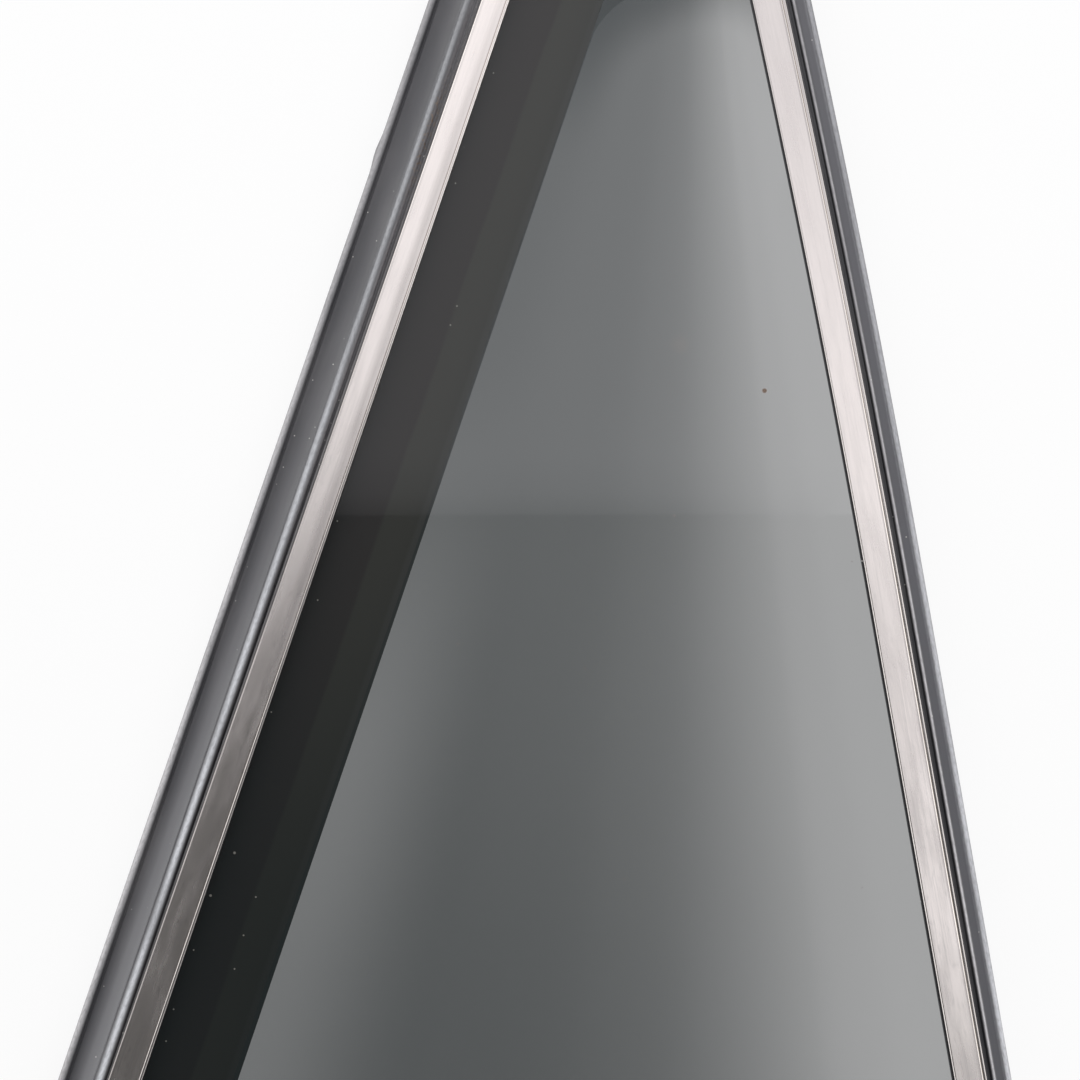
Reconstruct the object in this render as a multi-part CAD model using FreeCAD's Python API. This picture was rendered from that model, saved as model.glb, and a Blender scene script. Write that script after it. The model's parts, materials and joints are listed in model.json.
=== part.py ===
import FreeCAD, Part
import math
import os

from FreeCAD import Vector

# A fixed quarter window of a car: a bent, tinted pane with a fired black border, a rubber edge
# moulded round it, and a bright trim let into the moulding along each of the two long sides.
# It lies on its back with the outer face up. All lengths are in millimetres, angles in degrees.
# The straight belt edge runs along Y towards the nose, the roof edge closes in on it from +X,
# and the wide end is the third side. Seen from above, an inset is a distance inwards from the
# silhouette, and a height is measured square to the pane from its outer face.

# Outline seen from above
wide_end_length = 310.0
wide_end_lean = 18.95  # from square to the belt edge
roof_lean = 28.9  # between the two long edges at the wide end
roof_straight = 188.0  # from the wide end to where the roof edge starts to bow
roof_bow_radius = 4700.0
nose_radius = 12.0
corner_radius = 9.0

# Pane and its fired border
glass_thickness = 3.85
bend_radius = 1500.0  # bent about a line along Y, under the middle of the width
pane_inset_belt = 19.5
pane_inset_roof = 12.5
pane_inset_end = 9.0
pane_nose_radius = 6.0
pane_corner_radius = 14.0
frit_thickness = 0.12
clear_inset_belt = 50.4  # silhouette to the clear glass
clear_inset_roof = 17.9
clear_inset_end = 24.0
clear_nose_radius = 27.5
clear_corner_radius = 9.0

# Moulding, back side
flange_thickness = 2.4  # bonding flange under the fired border
foot_drop = 2.1  # how far the sealing foot stands below the flange
foot_width = 7.0
flange_inset_belt = 38.3
flange_inset_roof = 17.6
flange_inset_end = 18.0
flange_round = 0.8

# Moulding, belt side, from the silhouette inwards
belt_lip_width = 2.4
belt_lip_height = -2.9
belt_crease = 0.5
belt_channel_sag = 1.0
belt_ridge_width = 2.9
belt_ridge_top = 0.5
belt_groove_width = 1.3
belt_groove_floor = -1.3

# Moulding, roof side, from the silhouette inwards
roof_lip_width = 1.8
roof_lip_height = -2.6
roof_shelf_width = 3.0
roof_shelf_height = -2.5
roof_ridge_width = 1.0
roof_ridge_rise = 0.9
roof_groove_floor = -3.1
roof_inner_lip = 1.1  # rubber lip between trim and clear glass
roof_inner_lip_height = 0.45

# Moulding at the wide end and the nose
end_round = 1.8
end_flush = -0.1  # its top lies just under the pane's face
nose_top = -0.9
nose_block_length = 42.0
nose_block_setback = 0.4
nose_edge_bevel = 0.8

# Bright trims
trim_gauge = 0.6
belt_trim_inset = 14.4  # outer edge at the wide end
belt_trim_inset_nose = 15.8  # the trim narrows and leans in towards the nose
belt_trim_width = 10.4
belt_trim_width_nose = 7.4
belt_trim_top = 1.5
belt_trim_foot = -0.6
belt_rim_width = 1.1  # rolled rim beside the glass
belt_rim_rise = 0.25
roof_trim_inset = 7.5
roof_trim_width = 9.5
roof_trim_top = 1.8
roof_trim_fall = 0.9  # its face falls outwards by this much
roof_trim_foot = -1.2
roof_hem_width = 1.1  # folded hem along its outer edge
roof_hem_step = 0.45
trim_end_gap = 3.0  # from the wide end
mitre_gap = 0.3
seat_gap = 0.02

# Worked out from the sizes above
degrees = math.radians(1)
end_along = Vector(math.cos(wide_end_lean * degrees), math.sin(wide_end_lean * degrees), 0)
end_inward = Vector(-end_along.y, end_along.x, 0)
roof_start = end_along * wide_end_length
crown_x = roof_start.x / 2
first_angle = roof_lean * degrees
roof_up = Vector(-math.sin(first_angle), math.cos(first_angle), 0)
roof_out = Vector(math.cos(first_angle), math.sin(first_angle), 0)
bow_start = roof_start + roof_up * roof_straight
bow_center = bow_start - roof_out * roof_bow_radius
frit_back = -glass_thickness - frit_thickness
flange_back = frit_back - flange_thickness
foot_back = flange_back - foot_drop
bead_round = 6  # chords in a section's beads and channels
small_round = 3  # chords in its small rounds
tall = 60.0  # more than the height of anything here
past_end = 30.0  # how far a rail is drawn past the wide end before it is cut there
end_overlap = 10.0  # how far the end rail's ends reach into the rails beside it
edge_spare = 0.3  # the final outline cut stands off both long edges by this
end_skim = 0.4  # and takes this off the wide end, flush across its three rails
end_spans = 6
bow_spans = 5


def bowPoint(angle, inset):
    """The point of the bowed roof edge whose outward direction is at this angle, moved inwards."""
    reach = roof_bow_radius - inset
    return bow_center + Vector(math.cos(angle), math.sin(angle), 0) * reach


def bowAngleAt(x, inset):
    """Where the bowed roof edge, moved inwards, crosses this x."""
    return math.acos((x - bow_center.x) / (roof_bow_radius - inset))


def glassHeight(x):
    return math.sqrt(bend_radius**2 - (x - crown_x) ** 2) - bend_radius


def arcSpots(start, via, end, chords):
    """Spots along the arc through three spots of a section, without its start."""
    (ax, ay), (bx, by), (cx, cy) = start, via, end
    turn = 2 * (ax * (by - cy) + bx * (cy - ay) + cx * (ay - by))
    squares = [x * x + y * y for x, y in (start, via, end)]
    x = (squares[0] * (by - cy) + squares[1] * (cy - ay) + squares[2] * (ay - by)) / turn
    y = (squares[0] * (cx - bx) + squares[1] * (ax - cx) + squares[2] * (bx - ax)) / turn
    radius = math.hypot(ax - x, ay - y)
    first = math.atan2(ay - y, ax - x)
    sweep = (math.atan2(cy - y, cx - x) - first) % (2 * math.pi)
    if turn < 0:
        sweep -= 2 * math.pi
    angles = [first + sweep * k / chords for k in range(1, chords)]
    return [(x + radius * math.cos(t), y + radius * math.sin(t)) for t in angles] + [end]


class Station:
    """A section plane square to a path on the bent glass."""

    def __init__(self, point, heading, inward, band):
        middle = point + inward * (band / 2)
        lean = (middle.x - crown_x) / bend_radius
        self.up = Vector(lean, 0, math.sqrt(1 - lean**2))
        slope = -lean / self.up.z
        along = Vector(heading.x, heading.y, heading.x * slope).normalize()
        across = self.up.cross(along)
        if across.dot(inward) < 0:
            across = -across
        self.across = across
        self.origin = Vector(middle.x, middle.y, glassHeight(middle.x)) - across * (band / 2)

    def wire(self, start, steps):
        """A closed section. Each step is (end,) for a line or (via, end, chords) for a round."""
        spots = [start]
        for step in steps:
            spots += arcSpots(spots[-1], *step) if len(step) == 3 else step
        return polygon(
            [self.origin + self.across * inset + self.up * height for inset, height in spots]
        )


def beltStation(y, band):
    return Station(Vector(0, y, 0), Vector(0, 1, 0), Vector(1, 0, 0), band)


def endStation(distance, band):
    return Station(end_along * distance, end_along, end_inward, band)


def roofStations(band):
    """From beyond the wide end, up the straight stretch and along the bow to past the nose."""
    stations = []
    for distance in (-past_end, roof_straight / 3, roof_straight * 2 / 3):
        stations.append(Station(roof_start + roof_up * distance, roof_up, -roof_out, band))
    last_angle = bowAngleAt(0, nose_radius)
    for k in range(bow_spans + 1):
        angle = first_angle + (last_angle - first_angle) * k / bow_spans
        heading = Vector(-math.sin(angle), math.cos(angle), 0)
        inward = Vector(-math.cos(angle), -math.sin(angle), 0)
        stations.append(Station(bowPoint(angle, 0), heading, inward, band))
    return stations


def prism(wire):
    """The tall space within an outline seen from above."""
    wire.translate(Vector(0, 0, -tall))
    return Part.Face(wire).extrude(Vector(0, 0, 2 * tall))


def polygon(points):
    return Part.makePolygon(points + [points[0]])


def crossing(point, along, other, other_along):
    """Where two lines seen from above meet."""
    between = other - point
    turn = along.x * other_along.y - along.y * other_along.x
    share = (between.x * other_along.y - between.y * other_along.x) / turn
    return point + along * share


def outline(belt, roof, end, nose_round, corner_round):
    """The three-sided outline at these insets, with its nose and corners rounded."""
    belt_up = Vector(0, 1, 0)
    belt_side = Vector(belt, 0, 0)
    end_side = end_inward * end
    roof_side = roof_start - roof_out * roof
    left = crossing(end_side, end_along, belt_side, belt_up)
    right = crossing(end_side, end_along, roof_side, roof_up)
    nose_angle = bowAngleAt(belt + nose_round, roof + nose_round)
    nose_center = bowPoint(nose_angle, roof + nose_round)
    nose_out = Vector(math.cos(nose_angle), math.sin(nose_angle), 0)
    nose_mid = (nose_out - Vector(1, 0, 0)).normalize()
    belt_tip = nose_center - Vector(nose_round, 0, 0)
    roof_tip = nose_center + nose_out * nose_round
    bow_middle = bowPoint((first_angle + nose_angle) / 2, roof)
    bow_foot = bowPoint(first_angle, roof)

    def corner(at, back, ahead):
        """Tangent points and middle of the arc that rounds a corner between two directions."""
        half = math.acos(back.dot(ahead)) / 2
        run = corner_round / math.tan(half)
        inside = (back + ahead).normalize()
        center = at + inside * (corner_round / math.sin(half))
        return at + back * run, center - inside * corner_round, at + ahead * run

    left_in, left_mid, left_out = corner(left, belt_up, end_along)
    right_in, right_mid, right_out = corner(right, -end_along, roof_up)
    edges = [
        Part.Arc(left_in, left_mid, left_out),
        Part.LineSegment(left_out, right_in),
        Part.Arc(right_in, right_mid, right_out),
        Part.LineSegment(right_out, bow_foot),
        Part.Arc(bow_foot, bow_middle, roof_tip),
        Part.Arc(roof_tip, nose_center + nose_mid * nose_round, belt_tip),
        Part.LineSegment(belt_tip, left_in),
    ]
    return Part.Wire([edge.toShape() for edge in edges])


def bentPlate(top, bottom):
    """All of the space between two heights above the pane's outer face."""
    base = Vector(crown_x, -tall, -bend_radius)
    length = nose_tip_y + 2 * tall
    outer = Part.makeCylinder(bend_radius + top, length, base, Vector(0, 1, 0))
    inner = Part.makeCylinder(bend_radius + bottom, length, base, Vector(0, 1, 0))
    return outer.cut(inner)


nose_center = bowPoint(bowAngleAt(nose_radius, nose_radius), nose_radius)
nose_tip_y = nose_center.y + nose_radius


def beltTrimEdges(y):
    """Insets of the belt trim's outer and inner edges, which run nearly but not quite parallel."""
    share = y / nose_tip_y
    outer = belt_trim_inset + (belt_trim_inset_nose - belt_trim_inset) * share
    width = belt_trim_width + (belt_trim_width_nose - belt_trim_width) * share
    return outer, outer + width


def backSteps(flange_inset, foot_inset, lip_height):
    """The back of a section, from the flange's free edge out to the silhouette."""
    half_foot = foot_drop / 2
    return [
        ((flange_inset, flange_back + flange_round),),
        (
            (flange_inset - flange_round * 0.3, flange_back + flange_round * 0.3),
            (flange_inset - flange_round, flange_back),
            small_round,
        ),
        ((foot_inset + foot_width + half_foot, flange_back),),
        ((foot_inset + foot_width, foot_back),),
        ((foot_inset, foot_back),),
        ((foot_inset * 0.35, (flange_back + lip_height) / 2 - half_foot / 2),),
    ]


def beltSection(station, y):
    """Lip, concave channel, ridge and groove outside the trim, and the core under the trim."""
    outer, inner = beltTrimEdges(y)
    lip_top = belt_lip_height + belt_lip_width / 2
    crease = belt_lip_width + belt_crease
    channel_start = crease + belt_crease
    ridge_end = outer - belt_groove_width - belt_crease * 2
    ridge_start = ridge_end - belt_ridge_width
    ridge_foot = (belt_ridge_top + belt_lip_height) / 2
    channel_low = (belt_lip_height + ridge_foot) / 2 - belt_channel_sag
    core_top = belt_trim_top - trim_gauge / 2
    steps = [
        ((belt_lip_width / 2, lip_top), (belt_lip_width, belt_lip_height), bead_round),
        ((crease, belt_lip_height - belt_crease),),
        ((channel_start, belt_lip_height - belt_crease / 2),),
        (((channel_start + ridge_start) / 2, channel_low), (ridge_start, ridge_foot), bead_round),
        (((ridge_start + ridge_end) / 2, belt_ridge_top), (ridge_end, ridge_foot / 2), bead_round),
        ((ridge_end + belt_crease, belt_groove_floor),),
        ((ridge_end + belt_groove_width, belt_groove_floor),),
        ((outer - belt_crease, belt_trim_foot + belt_crease),),
        ((outer + trim_gauge / 2, belt_trim_foot + belt_crease),),
        ((outer + trim_gauge / 2, core_top),),
        ((inner - trim_gauge / 2, core_top),),
        ((inner - trim_gauge / 2, -glass_thickness / 2),),
        ((flange_inset_belt, -glass_thickness / 2),),
    ]
    foot_inset = (belt_lip_width + ridge_start) / 2
    steps += backSteps(flange_inset_belt, foot_inset, belt_lip_height)
    return station.wire((0, belt_lip_height), steps)


def roofSection(station):
    """Lip, shelf, thin ridge and groove outside the trim, its core and the lip inside it."""
    outer = roof_trim_inset
    inner = outer + roof_trim_width
    lip_top = roof_lip_height + roof_lip_width / 2
    shelf_end = roof_lip_width + roof_shelf_width
    ridge_mid = shelf_end + roof_ridge_width / 2
    ridge_end = shelf_end + roof_ridge_width
    groove_slope = (outer - ridge_end) / 4
    hem_height = roof_trim_top - roof_trim_fall - roof_hem_step - trim_gauge / 2
    steps = [
        ((roof_lip_width / 2, lip_top), (roof_lip_width, roof_lip_height), bead_round),
        ((roof_lip_width + roof_ridge_width / 4, roof_shelf_height),),
        ((shelf_end, roof_shelf_height),),
        (
            (ridge_mid, roof_shelf_height + roof_ridge_rise),
            (ridge_end, roof_shelf_height),
            bead_round,
        ),
        ((ridge_end + groove_slope, roof_groove_floor),),
        ((outer - groove_slope, roof_groove_floor),),
        ((outer - groove_slope, roof_trim_foot),),
        ((outer + trim_gauge / 2, roof_trim_foot),),
        ((outer + trim_gauge / 2, hem_height),),
        ((outer + roof_hem_width, hem_height),),
        ((inner - trim_gauge / 2, roof_trim_top - trim_gauge / 2),),
        ((inner - trim_gauge / 2, roof_inner_lip_height * 1.2),),
        (
            (inner + roof_inner_lip * 0.6, roof_inner_lip_height),
            (inner + roof_inner_lip, 0.1),
            small_round,
        ),
        ((inner + roof_inner_lip, -glass_thickness / 2),),
        ((flange_inset_roof, -glass_thickness / 2),),
    ]
    steps += backSteps(flange_inset_roof, roof_lip_width * 1.6, roof_lip_height)
    return station.wire((0, roof_lip_height), steps)


def endSection(station):
    """The plain rail of the wide end, flush with the pane."""
    middle = end_flush - end_round
    steps = [
        ((end_round * 0.3, end_flush - end_round * 0.3), (end_round, end_flush), small_round),
        ((pane_inset_end - 0.1, end_flush),),
        ((pane_inset_end + 0.5, -glass_thickness / 2),),
        ((flange_inset_end, -glass_thickness / 2),),
    ]
    steps += backSteps(flange_inset_end, end_round * 2, middle)
    return station.wire((0, middle), steps)


def bowedRail(wires):
    return Part.makeLoft(wires, True, False)


def straightRail(first, last):
    """A straight rail between two polygons, with a plane side wherever four corners allow one."""
    near = [vertex.Point for vertex in first.OrderedVertexes]
    far = [vertex.Point for vertex in last.OrderedVertexes]
    sides = [Part.Face(first), Part.Face(last)]
    for k in range(len(near)):
        a, b, c, d = near[k - 1], near[k], far[k], far[k - 1]
        normal = (b - a).cross(d - a).normalize()
        if abs((c - a).dot(normal)) < 1e-6:
            sides.append(Part.Face(polygon([a, b, c, d])))
        else:
            sides.append(Part.makeRuledSurface(Part.makeLine(a, b), Part.makeLine(d, c)))
    rail = Part.Solid(Part.Shell(sides))
    rail.fixTolerance(1e-6)
    return rail if rail.Volume > 0 else rail.reversed()


def paneOutline():
    return outline(
        pane_inset_belt, pane_inset_roof, pane_inset_end, pane_nose_radius, pane_corner_radius
    )


def makePane():
    return bentPlate(0, -glass_thickness).common(prism(paneOutline()))


def makeFrit():
    """The fired border: all of the pane's inner face but the clear area."""
    clear = outline(
        clear_inset_belt, clear_inset_roof, clear_inset_end, clear_nose_radius, clear_corner_radius
    )
    layer = bentPlate(-glass_thickness, frit_back)
    return layer.common(prism(paneOutline())).cut(prism(clear))


def makeGlazing():
    """The space that pane and fired border take up in the moulding."""
    return bentPlate(0, frit_back).common(prism(paneOutline()))


def wideEndCut(setback):
    """Everything beyond the wide end, less this setback."""
    line = end_inward * setback
    near = line - end_along * 2 * tall
    far = line + end_along * (wide_end_length + 2 * tall)
    return prism(polygon([near, far, far - end_inward * 3 * tall, near - end_inward * 3 * tall]))


def trimMitre():
    """The mitre line of the two trims, through the points where their inner and outer edges meet."""
    outer, inner = beltTrimEdges(nose_tip_y)
    corners = []
    for belt_inset, roof_inset in (
        (inner, roof_trim_inset + roof_trim_width),
        (outer, roof_trim_inset),
    ):
        corners.append(bowPoint(bowAngleAt(belt_inset, roof_inset), roof_inset))
    return corners


def mitreCut(side, gap):
    """The space past one side of the mitre: 1 towards the roof edge, -1 towards the belt edge."""
    low, high = trimMitre()
    run = (high - low).normalize()
    shift = Vector(-side * gap / 2, 0, 0)
    start = low - run * gap * 4
    stop = high + run * 2 * tall
    away = Vector(side * 3 * tall, 0, 0)
    return prism(polygon([start + shift, stop + shift, stop + away, start + away]))


def makeBeltTrim(glazing):
    top = belt_trim_top
    curl = trim_gauge * 1.5

    def section(y):
        outer, inner = beltTrimEdges(y)
        rim = inner - belt_rim_width
        station = beltStation(y, flange_inset_belt)
        steps = [
            ((outer, top - curl),),
            ((outer + curl * 0.3, top - curl * 0.3), (outer + curl, top), small_round),
            ((rim - trim_gauge / 2, top),),
            ((rim - trim_gauge / 4, top - trim_gauge / 5),),
            ((rim, top),),
            (
                (inner - belt_rim_width / 2, top + belt_rim_rise),
                (inner, top - belt_rim_rise * 1.4),
                bead_round,
            ),
            ((inner, -seat_gap),),
            ((inner - trim_gauge, -seat_gap),),
            ((inner - trim_gauge, top - trim_gauge),),
            ((outer + trim_gauge, top - trim_gauge),),
            ((outer + trim_gauge, belt_trim_foot),),
        ]
        return station.wire((outer, belt_trim_foot), steps)

    strip = straightRail(section(-past_end), section(nose_tip_y))
    return strip.cut([wideEndCut(trim_end_gap), mitreCut(1, mitre_gap), glazing])


def makeRoofTrim(glazing):
    outer = roof_trim_inset
    inner = outer + roof_trim_width
    top = roof_trim_top
    low = top - roof_trim_fall
    hem = outer + roof_hem_width
    curl = trim_gauge * 1.2

    def section(station):
        steps = [
            ((outer, low - roof_hem_step - curl),),
            (
                (outer + curl * 0.3, low - roof_hem_step - curl * 0.3),
                (outer + curl, low - roof_hem_step),
                small_round,
            ),
            ((hem, low - roof_hem_step - 0.1),),
            ((hem + 0.1, low - 0.15),),
            ((hem + curl / 2, low),),
            ((inner - curl, top),),
            ((inner - curl * 0.3, top - curl * 0.3), (inner, top - curl), small_round),
            ((inner, roof_inner_lip_height),),
            ((inner - trim_gauge, roof_inner_lip_height),),
            ((inner - trim_gauge, top - trim_gauge),),
            ((hem, low - roof_hem_step - trim_gauge),),
            ((outer + trim_gauge, low - roof_hem_step - trim_gauge),),
            ((outer + trim_gauge, roof_trim_foot),),
        ]
        return station.wire((outer, roof_trim_foot), steps)

    band = inner + roof_inner_lip
    strip = bowedRail([section(station) for station in roofStations(band)])
    return strip.cut([wideEndCut(trim_end_gap), mitreCut(-1, mitre_gap), glazing])


def onNoseTop(offset, up):
    return abs(offset.dot(up) - nose_top) < 0.01


def makeNoseBlock():
    """The solid end of the moulding, which closes the channels of both rails."""
    inset = nose_block_setback
    base = outline(inset, inset, inset, nose_radius - inset, corner_radius)
    lean = (nose_center.x - crown_x) / bend_radius
    up = Vector(lean, 0, math.sqrt(1 - lean**2))
    surface = Vector(nose_center.x, nose_center.y, glassHeight(nose_center.x))
    turn = FreeCAD.Rotation(Vector(0, 0, 1), up)
    slab = Part.makeBox(2 * tall, 2 * tall, nose_top - foot_back, Vector(-tall, -nose_block_length, 0))
    slab.Placement = FreeCAD.Placement(surface + up * foot_back, turn)
    block = prism(base).common(slab)
    rim = [edge for edge in block.Edges if all(onNoseTop(v.Point - surface, up) for v in edge.Vertexes)]
    return block.makeChamfer(nose_edge_bevel, rim)


def makeMoulding(held):
    """Rails mitred at the nose and joined, then opened to seat the pieces that they hold."""
    belt_ends = [beltSection(beltStation(y, flange_inset_belt), y) for y in (-past_end, nose_tip_y)]
    belt_side = Part.makeCylinder(
        roof_bow_radius - roof_trim_inset, 2 * tall, bow_center - Vector(0, 0, tall)
    )
    belt_rail = straightRail(*belt_ends).common(belt_side).cut(mitreCut(1, 0))
    band = roof_trim_inset + roof_trim_width + roof_inner_lip
    roof_rail = bowedRail([roofSection(station) for station in roofStations(band)])
    roof_rail = roof_rail.cut(mitreCut(-1, 0))
    end_wires = []
    for k in range(end_spans + 1):
        distance = end_overlap + (wide_end_length - 2 * end_overlap) * k / end_spans
        end_wires.append(endSection(endStation(distance, flange_inset_end)))
    body = belt_rail.fuse([roof_rail, bowedRail(end_wires), makeNoseBlock()])
    plan = prism(outline(-edge_spare, -edge_spare, end_skim, nose_radius, corner_radius))
    return body.common(plan).cut(held)


pane = makePane()
frit = makeFrit()
glazing = makeGlazing()
belt_trim = makeBeltTrim(glazing)
roof_trim = makeRoofTrim(glazing)
moulding = makeMoulding([glazing, belt_trim, roof_trim])
nodes = {
    "window_pane": pane,
    "fired_border": frit,
    "edge_moulding": moulding,
    "belt_trim": belt_trim,
    "roof_trim": roof_trim,
}
box = moulding.optimalBoundingBox(False, False)
rest = Vector(-box.Center.x, -box.Center.y, -box.ZMin)
os.makedirs("parts", exist_ok=True)
for name, shape in nodes.items():
    shape.translate(rest)
    print(name, shape.isValid(), len(shape.Solids), round(shape.Volume), len(shape.Faces))
    shape.exportStep(f"parts/{name}.step")
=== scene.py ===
import json
import math

import bpy
import bmesh
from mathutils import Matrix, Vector

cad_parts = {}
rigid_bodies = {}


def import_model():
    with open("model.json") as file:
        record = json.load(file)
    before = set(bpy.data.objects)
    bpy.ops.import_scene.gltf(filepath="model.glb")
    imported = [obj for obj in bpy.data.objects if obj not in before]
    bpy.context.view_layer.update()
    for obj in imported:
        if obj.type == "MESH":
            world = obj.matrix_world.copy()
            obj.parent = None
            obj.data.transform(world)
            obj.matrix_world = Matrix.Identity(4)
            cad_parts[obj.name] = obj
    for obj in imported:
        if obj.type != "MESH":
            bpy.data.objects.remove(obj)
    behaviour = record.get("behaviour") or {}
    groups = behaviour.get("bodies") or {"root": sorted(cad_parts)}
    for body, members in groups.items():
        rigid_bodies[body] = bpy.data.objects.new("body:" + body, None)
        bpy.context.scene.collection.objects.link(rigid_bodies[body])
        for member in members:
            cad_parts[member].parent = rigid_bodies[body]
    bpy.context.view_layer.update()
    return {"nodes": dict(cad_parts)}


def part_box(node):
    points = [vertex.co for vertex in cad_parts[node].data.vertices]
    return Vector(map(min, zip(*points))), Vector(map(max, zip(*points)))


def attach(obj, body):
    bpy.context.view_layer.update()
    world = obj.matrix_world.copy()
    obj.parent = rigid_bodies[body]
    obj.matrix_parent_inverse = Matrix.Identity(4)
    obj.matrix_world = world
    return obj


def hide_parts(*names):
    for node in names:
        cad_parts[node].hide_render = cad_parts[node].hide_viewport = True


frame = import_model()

scene = bpy.context.scene
mm = 0.001

# The window lies on its back. Seen from above, an inset is a distance in from the silhouette,
# and a height is measured square to the pane from its outer face. Both are in millimetres.
form = {
    "endLength": 310, "endLean": 18.95, "roofLean": 28.9, "roofStraight": 188, "roofBow": 4700,
    "noseRound": 12, "cornerRound": 9, "bend": 1500, "cornerY": -287.61,
    "paneBelt": 19.5, "thickness": 3.85, "enamelDepth": 3.97, "enamelBack": -3.98, "flangeBack": -6.37,
    "footBack": -8.47, "footWidth": 7, "footSlope": 1.05, "flangeRound": 0.8,
    "footInnerRound": 0.3, "footOuterRound": 0.6, "underLip": 0.35, "underLipRound": 0.8,
    "edgeSpare": 0.3, "endSkim": 0.4, "pastEnd": 30, "tall": 60, "seat": 0.02, "bowSpans": 24,
}
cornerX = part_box("window_pane")[0].x / mm - form["paneBelt"]
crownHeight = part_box("window_pane")[1].z / mm
toFrame = Vector((cornerX, form["cornerY"], 0))


def atAngle(degrees):
    return Vector((math.cos(math.radians(degrees)), math.sin(math.radians(degrees)), 0))


endAlong = atAngle(form["endLean"])
endInward = atAngle(form["endLean"] + 90)
roofOut = atAngle(form["roofLean"])
roofUp = atAngle(form["roofLean"] + 90)
roofStart = endAlong * form["endLength"]
crownX = roofStart.x / 2
bowCenter = roofStart + roofUp * form["roofStraight"] - roofOut * form["roofBow"]


def bowAngle(x, inset):
    return math.degrees(math.acos((x - bowCenter.x) / (form["roofBow"] - inset)))


def bowPoint(angle, inset):
    return bowCenter + atAngle(angle) * (form["roofBow"] - inset)


noseTip = bowPoint(bowAngle(form["noseRound"], form["noseRound"]), form["noseRound"])
noseTip.y += form["noseRound"]


def glassHeight(x):
    return math.sqrt(form["bend"] ** 2 - (x - crownX) ** 2) - form["bend"]


class Wire:
    # a socket of a node tree, so that maths on it is written as maths
    def __init__(self, maker, socket):
        self.maker = maker
        self.socket = socket

    def output(self, name):
        return Wire(self.maker, self.socket.node.outputs[name])

    def maths(self, operation, *values):
        inputs = dict(enumerate(values))
        return self.maker.add("ShaderNodeMath", {"operation": operation}, inputs)

    def __add__(self, other):
        return self.maths("ADD", self, other)

    def __sub__(self, other):
        return self.maths("SUBTRACT", self, other)

    def __rsub__(self, other):
        return self.maths("SUBTRACT", other, self)

    def __mul__(self, other):
        return self.maths("MULTIPLY", self, other)

    def __truediv__(self, other):
        return self.maths("DIVIDE", self, other)

    def __rtruediv__(self, other):
        return self.maths("DIVIDE", other, self)

    __radd__ = __add__
    __rmul__ = __mul__

    def higher(self, other):
        return self.maths("MAXIMUM", self, other)

    def lower(self, other):
        return self.maths("MINIMUM", self, other)

    def root(self):
        return self.maths("SQRT", self)

    def size(self):
        return self.maths("ABSOLUTE", self)

    def ramp(self, low, high, lowest=0, highest=1):
        # eases from lowest to highest as the value goes from low to high
        inputs = {"Value": self, "From Min": low, "From Max": high, "To Min": lowest, "To Max": highest}
        return self.maker.add("ShaderNodeMapRange", {"interpolation_type": "SMOOTHSTEP"}, inputs)

    def near(self, place, reach):
        # 1 at the place, and 0 from the reach onwards
        return (self - place).size().ramp(0, reach, 1, 0)


class Maker:
    # adds nodes to one tree
    def __init__(self, tree):
        self.tree = tree

    def add(self, kind, settings=None, inputs=None, output=0):
        node = self.tree.nodes.new(kind)
        for name, value in (settings or {}).items():
            if name == "stops":
                self.setStops(node.color_ramp, value)
            else:
                setattr(node, name, value)
        for name, value in (inputs or {}).items():
            for one in value if isinstance(value, list) else [value]:
                if isinstance(one, Wire):
                    self.tree.links.new(one.socket, node.inputs[name])
                else:
                    node.inputs[name].default_value = one
        return Wire(self, node.outputs[output]) if node.outputs else node

    def setStops(self, colorRamp, stops):
        while len(colorRamp.elements) < len(stops):
            colorRamp.elements.new(1)
        for element, (place, value) in zip(colorRamp.elements, stops):
            element.position = place
            element.color = (value, value, value, 1) if isinstance(value, (int, float)) else (*value, 1)

    def blend(self, share, first, second):
        # mixes two colours
        inputs = {"Factor": share, "A": first, "B": second}
        node = self.tree.nodes.new("ShaderNodeMix")
        node.data_type = "RGBA"
        places = {"Factor": node.inputs[0], "A": node.inputs[6], "B": node.inputs[7]}
        for name, value in inputs.items():
            if isinstance(value, Wire):
                self.tree.links.new(value.socket, places[name])
            else:
                places[name].default_value = (*value, 1) if isinstance(value, tuple) else value
        return Wire(self, node.outputs[2])


def linked(name, mesh):
    piece = bpy.data.objects.new(name, mesh)
    scene.collection.objects.link(piece)
    return piece


# Sections: loops of inset and height, from the silhouette's underside over the top and back


def arc(start, via, end, parts):
    (ax, ay), (bx, by), (cx, cy) = start, via, end
    turn = 2 * (ax * (by - cy) + bx * (cy - ay) + cx * (ay - by))
    squares = [x * x + y * y for x, y in (start, via, end)]
    x = (squares[0] * (by - cy) + squares[1] * (cy - ay) + squares[2] * (ay - by)) / turn
    y = (squares[0] * (cx - bx) + squares[1] * (ax - cx) + squares[2] * (bx - ax)) / turn
    reach = math.hypot(ax - x, ay - y)
    first = math.atan2(ay - y, ax - x)
    sweep = (math.atan2(cy - y, cx - x) - first) % (2 * math.pi)
    if turn < 0:
        sweep -= 2 * math.pi
    angles = [first + sweep * k / parts for k in range(parts + 1)]
    return [(x + reach * math.cos(t), y + reach * math.sin(t)) for t in angles]


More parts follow.
